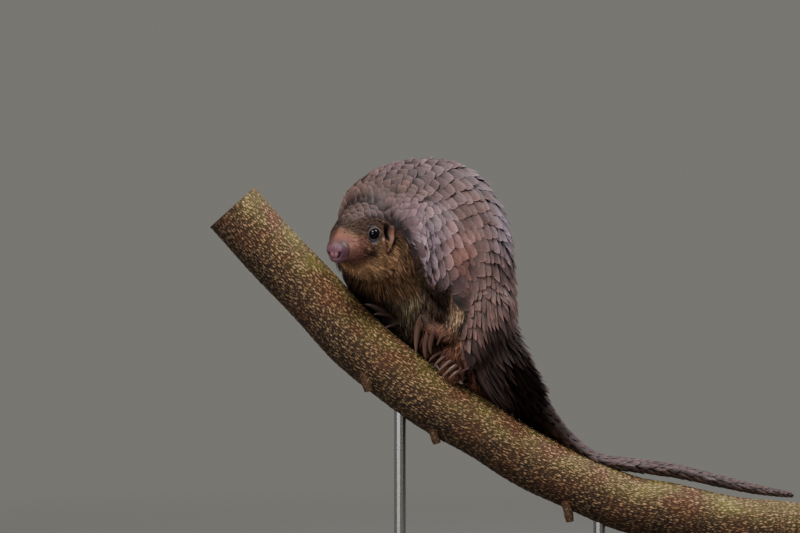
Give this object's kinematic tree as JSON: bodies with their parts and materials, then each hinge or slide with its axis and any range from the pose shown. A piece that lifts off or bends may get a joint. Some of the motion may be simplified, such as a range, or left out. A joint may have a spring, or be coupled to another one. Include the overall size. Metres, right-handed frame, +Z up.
{
  "type": "tree pangolin museum model on a cut branch",
  "caption": "Life-size tree pangolin, hunched and climbing along a cut branch with its tail laid behind it, on a flat base with rods.",
  "frame": {"origin": "middle of the stand base's underside", "axes": "+Z up; +X along the branch from the animal's head towards its tail; -Y is the animal's left side, towards the viewer"},
  "size_m": [0.6074, 0.2, 0.4371],
  "materials": {
    "scales": "keratin scales, grey-brown with a purple tinge, satin and finely ridged",
    "face": "bare skin with short golden-brown fur",
    "nose": "moist purplish-pink nose skin",
    "eye": "nearly black, wet gloss",
    "ear": "thin bare pinkish skin",
    "paw": "wrinkled brown skin with sparse hair",
    "claw": "horn, brown with paler ridges, half gloss",
    "bark": "dark bark with tan raised pores and green moss on its upper side",
    "wood": "dark stained hardwood, satin",
    "steel": "brushed steel rod"
  },
  "bodies": {
    "root": {"perch_branch": "bark", "stand_base": "wood", "stand_rod_front": "steel", "stand_rod_rear": "steel", "eye_left": "eye", "eye_right": "eye", "nose": "nose", "muzzle": "face", "head": "face", "neck": "scales", "trunk_front": "scales", "trunk_middle": "scales", "trunk_rear": "scales", "tail_base": "scales", "tail_middle": "scales", "tail_end": "scales", "ear_left": "ear", "ear_right": "ear", "upper_arm_left": "scales", "forearm_left": "paw", "upper_arm_right": "scales", "forearm_right": "paw", "thigh_left": "scales", "shank_left": "paw", "thigh_right": "scales", "shank_right": "paw", "forepaw_left": "paw", "fore_claw_left_1": "claw", "fore_claw_left_2": "claw", "fore_claw_left_3": "claw", "fore_claw_left_4": "claw", "fore_claw_left_5": "claw", "forepaw_right": "paw", "fore_claw_right_1": "claw", "fore_claw_right_2": "claw", "fore_claw_right_3": "claw", "fore_claw_right_4": "claw", "fore_claw_right_5": "claw", "hind_foot_left": "paw", "hind_claw_left_1": "claw", "hind_claw_left_2": "claw", "hind_claw_left_3": "claw", "hind_claw_left_4": "claw", "hind_claw_left_5": "claw", "hind_foot_right": "paw", "hind_claw_right_1": "claw", "hind_claw_right_2": "claw", "hind_claw_right_3": "claw", "hind_claw_right_4": "claw", "hind_claw_right_5": "claw"}
  },
  "joints": []
}
